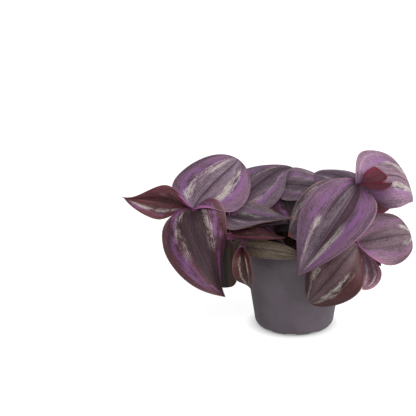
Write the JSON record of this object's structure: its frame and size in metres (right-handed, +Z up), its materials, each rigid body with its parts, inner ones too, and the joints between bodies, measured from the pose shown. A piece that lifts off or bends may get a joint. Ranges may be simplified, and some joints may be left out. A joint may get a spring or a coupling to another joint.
{
  "type": "potted tradescantia",
  "caption": "Trailing house plant with arching stems and broad pointed leaves, striped purple and silver above and wine red below, in a small round tapered nursery pot",
  "frame": {"origin": "on the surface the pot stands on, under the middle of the box around the whole plant; the pot's own axis stands 17.24 mm from it towards +X and 1.44 mm towards -Y", "axes": "+Z up, out of the pot; -Y the front, towards the viewer of the picture; +X to the viewer's right, along the plant's longest extent"},
  "size_m": [0.1734, 0.1219, 0.1156],
  "materials": {
    "pot_plastic": "matte taupe-grey moulded polypropylene",
    "peat": null,
    "foliage": null
  },
  "bodies": {
    "root": {"pot": "pot_plastic", "soil": "peat", "stem_left": "foliage", "stem_left_inner": "foliage", "stem_centre": "foliage", "stem_right_top": "foliage", "stem_right_low": "foliage", "stem_front_left": "foliage", "stem_back_left": "foliage", "stem_back_right": "foliage", "stem_back": "foliage"}
  },
  "joints": []
}
